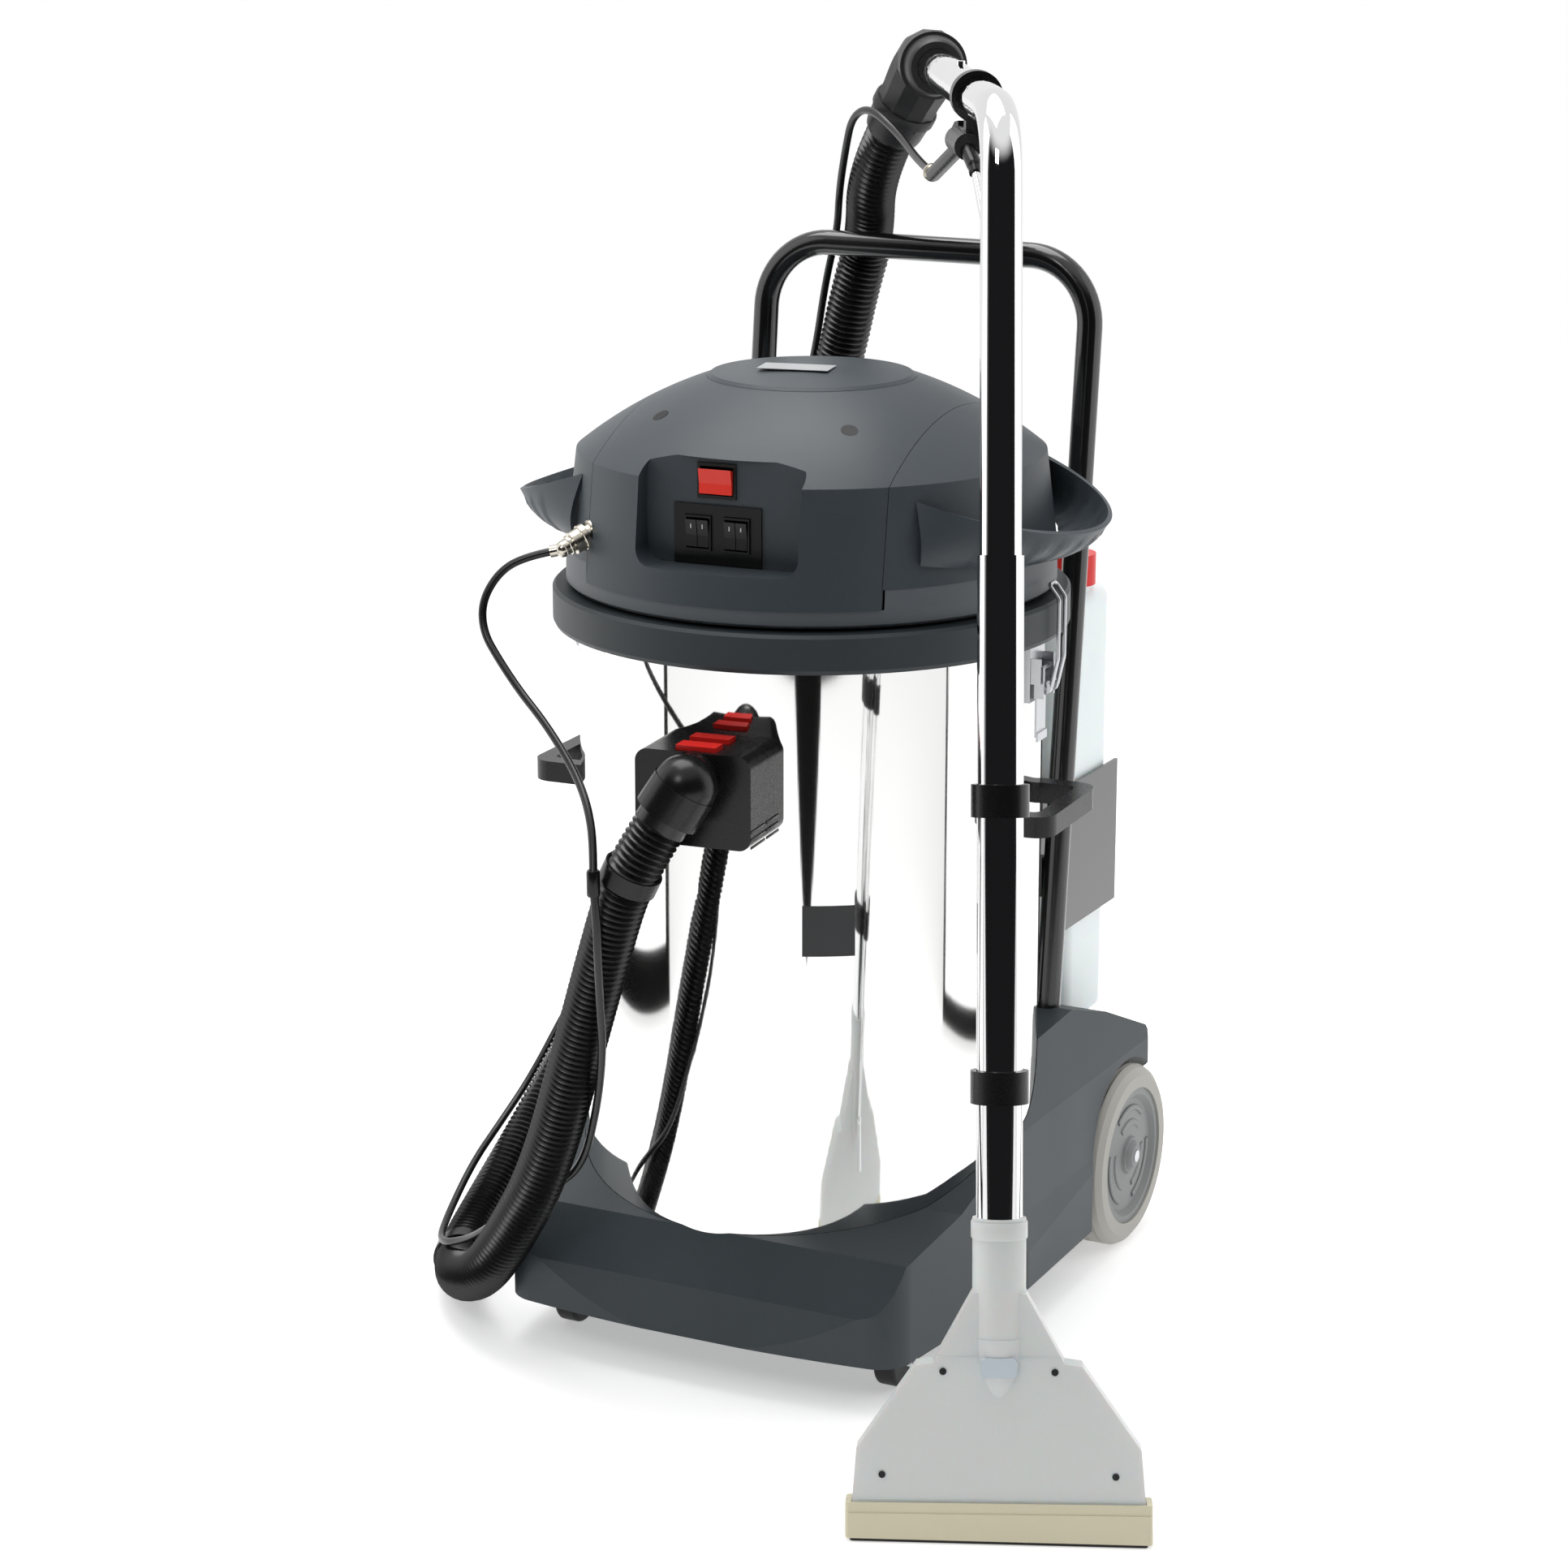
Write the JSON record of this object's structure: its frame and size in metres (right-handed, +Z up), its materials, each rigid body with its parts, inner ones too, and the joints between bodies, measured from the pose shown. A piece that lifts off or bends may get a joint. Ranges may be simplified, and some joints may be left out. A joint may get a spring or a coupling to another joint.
{
  "type": "spot extractor",
  "caption": "Wet extraction vacuum: polished steel tank and moulded motor head on a wheeled base, with push handle, solution can, hoses and a wand with a floor tool.",
  "frame": {"origin": "centre of the object's footprint, hoses left out, at floor level", "axes": "+Z up, -Y towards the front of the machine, +X towards the side where the wand stands"},
  "size_m": [0.8878, 0.867, 1.2164],
  "materials": {
    "base_slate": "moulded slate plastic, fine texture",
    "head_slate": "moulded dark slate plastic, fine texture",
    "ring_grey": "moulded grey plastic",
    "polished_steel": "mirror-polished stainless steel",
    "chrome_tube": "chromium-plated tube",
    "nickel": "nickel-plated brass",
    "zinc": "zinc-plated steel",
    "gloss_black": "gloss black powder coat",
    "black_plastic": "black plastic",
    "hose_black": "corrugated black hose",
    "thin_hose_black": "smooth black tube",
    "red_plastic": "red plastic",
    "can_white": "milky translucent plastic",
    "tool_clear": "milky translucent plastic",
    "beige_plastic": "beige plastic",
    "lip_rubber": "dark rubber",
    "tyre_grey": "warm grey tyre rubber",
    "hub_grey": "mid-grey plastic hub",
    "caster_black": "black plastic",
    "motor_grey": "motor housings",
    "screw_steel": "black screws",
    "gasket_rubber": "foam rubber seal"
  },
  "bodies": {
    "base": {"base_shell": "base_slate", "rear_axle": "zinc", "push_handle": "gloss_black", "can_holder": "gloss_black", "drum": "polished_steel", "rim_ring": "black_plastic", "tank_gasket": "gasket_rubber", "inlet_housing": "black_plastic", "drum_handles": "black_plastic", "latch_brackets": "zinc", "hose_connector": "black_plastic", "suction_hose": "hose_black", "solution_hose_lower": "thin_hose_black", "solution_hose_upper": "thin_hose_black", "hose_clips": "black_plastic"},
    "head": {"head_base_ring": "ring_grey", "head_front_cover": "head_slate", "head_rear_cover": "head_slate", "head_top_cap": "head_slate", "carry_grips": "head_slate", "cover_screws": "screw_steel", "switch_plate": "black_plastic", "vacuum_motors": "motor_grey", "solution_pump": "motor_grey", "float_cage": "black_plastic", "quick_coupling": "nickel"},
    "float": {"float_ball": "beige_plastic"},
    "power_switch": {"power_rocker": "red_plastic"},
    "vacuum_switch_one": {"vacuum_rocker_one": "black_plastic"},
    "vacuum_switch_two": {"vacuum_rocker_two": "black_plastic"},
    "pump_switch_one": {"pump_rocker_one": "black_plastic"},
    "pump_switch_two": {"pump_rocker_two": "black_plastic"},
    "inlet_release": {"inlet_button": "red_plastic"},
    "hose_release": {"connector_button": "red_plastic"},
    "latch_right": {"latch_lever_right": "zinc"},
    "latch_left": {"latch_lever_left": "zinc"},
    "bail_right": {"latch_wire_right": "zinc"},
    "bail_left": {"latch_wire_left": "zinc"},
    "wheel_right": {"wheel_tyre_right": "tyre_grey", "wheel_hub_right": "hub_grey"},
    "wheel_left": {"wheel_tyre_left": "tyre_grey", "wheel_hub_left": "hub_grey"},
    "caster_right": {"caster_fork_right": "zinc"},
    "caster_left": {"caster_fork_left": "zinc"},
    "caster_roll_right": {"caster_wheel_right": "caster_black"},
    "caster_roll_left": {"caster_wheel_left": "caster_black"},
    "can": {"solution_can": "can_white"},
    "cap": {"can_cap": "red_plastic"},
    "wand": {"wand_lower_tube": "chrome_tube", "wand_upper_tube": "chrome_tube", "wand_elbow": "black_plastic", "wand_valve": "black_plastic", "solution_pipe": "zinc", "wand_clips": "black_plastic", "floor_tool": "tool_clear", "tool_screws": "screw_steel", "squeegee_strip": "beige_plastic", "squeegee_rubber": "lip_rubber"},
    "trigger": {"valve_trigger": "black_plastic"},
    "snap_button": {"wand_snap_button": "zinc"}
  },
  "joints": [
    {"name": "head_lift", "type": "slide", "parent": "base", "child": "head", "axis": [0, 0, 1], "range_m": [0, 0.15]},
    {"name": "float_rise", "type": "slide", "parent": "head", "child": "float", "axis": [0, 0, 1], "range_m": [0, 0.04]},
    {"name": "power_rock", "type": "hinge", "parent": "head", "child": "power_switch", "pos_m": [-0.11084, -0.1368, 0.845], "axis": [-0.9986, -0.0523, 0], "range_deg": [0, 9]},
    {"name": "vacuum_one_rock", "type": "hinge", "parent": "head", "child": "vacuum_switch_one", "pos_m": [-0.13451, -0.13804, 0.797], "axis": [-0.9986, -0.0523, 0], "range_deg": [0, 9]},
    {"name": "vacuum_two_rock", "type": "hinge", "parent": "head", "child": "vacuum_switch_two", "pos_m": [-0.12312, -0.13745, 0.797], "axis": [-0.9986, -0.0523, 0], "range_deg": [0, 9]},
    {"name": "pump_one_rock", "type": "hinge", "parent": "head", "child": "pump_switch_one", "pos_m": [-0.09656, -0.13605, 0.797], "axis": [-0.9986, -0.0523, 0], "range_deg": [0, 9]},
    {"name": "pump_two_rock", "type": "hinge", "parent": "head", "child": "pump_switch_two", "pos_m": [-0.08518, -0.13546, 0.797], "axis": [-0.9986, -0.0523, 0], "range_deg": [0, 9]},
    {"name": "inlet_press", "type": "slide", "parent": "base", "child": "inlet_release", "axis": [0, 0, -1], "range_m": [0, 0.004], "stiffness_N_per_m": 800, "springref_m": -0.002},
    {"name": "hose_press", "type": "slide", "parent": "base", "child": "hose_release", "axis": [0, 0, -1], "range_m": [0, 0.004], "stiffness_N_per_m": 800, "springref_m": -0.002},
    {"name": "latch_swing_right", "type": "hinge", "parent": "base", "child": "latch_right", "pos_m": [0.12204, 0.06266, 0.656], "axis": [0.0523, -0.9986, 0], "range_deg": [0, 90]},
    {"name": "bail_swing_right", "type": "hinge", "parent": "latch_right", "child": "bail_right", "pos_m": [0.12803, 0.06297, 0.64], "axis": [0.0523, -0.9986, 0], "range_deg": [-90, 0]},
    {"name": "latch_swing_left", "type": "hinge", "parent": "base", "child": "latch_left", "pos_m": [-0.34332, 0.03827, 0.656], "axis": [-0.0523, 0.9986, 0], "range_deg": [0, 90]},
    {"name": "bail_swing_left", "type": "hinge", "parent": "latch_left", "child": "bail_left", "pos_m": [-0.34931, 0.03796, 0.64], "axis": [-0.0523, 0.9986, 0], "range_deg": [-90, 0]},
    {"name": "wheel_spin_right", "type": "hinge", "parent": "base", "child": "wheel_right", "pos_m": [0.09936, 0.31846, 0.093], "axis": [1, 0, 0], "continuous": true},
    {"name": "caster_swivel_right", "type": "hinge", "parent": "base", "child": "caster_right", "pos_m": [0.06036, -0.10154, 0.06], "axis": [0, 0, 1], "continuous": true},
    {"name": "caster_spin_right", "type": "hinge", "parent": "caster_right", "child": "caster_roll_right", "pos_m": [0.06036, -0.11554, 0.025], "axis": [1, 0, 0], "continuous": true},
    {"name": "wheel_spin_left", "type": "hinge", "parent": "base", "child": "wheel_left", "pos_m": [-0.32064, 0.31846, 0.093], "axis": [1, 0, 0], "continuous": true},
    {"name": "caster_swivel_left", "type": "hinge", "parent": "base", "child": "caster_left", "pos_m": [-0.28164, -0.10154, 0.06], "axis": [0, 0, 1], "continuous": true},
    {"name": "caster_spin_left", "type": "hinge", "parent": "caster_left", "child": "caster_roll_left", "pos_m": [-0.28164, -0.11554, 0.025], "axis": [1, 0, 0], "continuous": true},
    {"name": "can_draw", "type": "slide", "parent": "base", "child": "can", "axis": [0, 1, 0], "range_m": [0, 0.16]},
    {"name": "cap_turn", "type": "hinge", "parent": "can", "child": "cap", "pos_m": [0.01936, 0.37046, 0.675], "axis": [0, 0, 1], "continuous": true},
    {"name": "wand_lift", "type": "slide", "parent": "base", "child": "wand", "axis": [0, 0, 1], "range_m": [0, 0.12]},
    {"name": "trigger_squeeze", "type": "hinge", "parent": "wand", "child": "trigger", "pos_m": [0.04794, 0.04403, 1.15142], "axis": [0.8434, 0.5373, 0], "range_deg": [0, 10], "stiffness_Nm_per_rad": 0.4, "springref_deg": -5.73},
    {"name": "button_press", "type": "slide", "parent": "wand", "child": "snap_button", "axis": [-0.0064, 0.0101, -0.9999], "range_m": [0, 0.003], "stiffness_N_per_m": 600, "springref_m": -0.002}
  ],
  "couplings": [
    {"joint": "bail_swing_right", "follows": "latch_swing_right", "ratio": -1},
    {"joint": "bail_swing_left", "follows": "latch_swing_left", "ratio": -1}
  ]
}
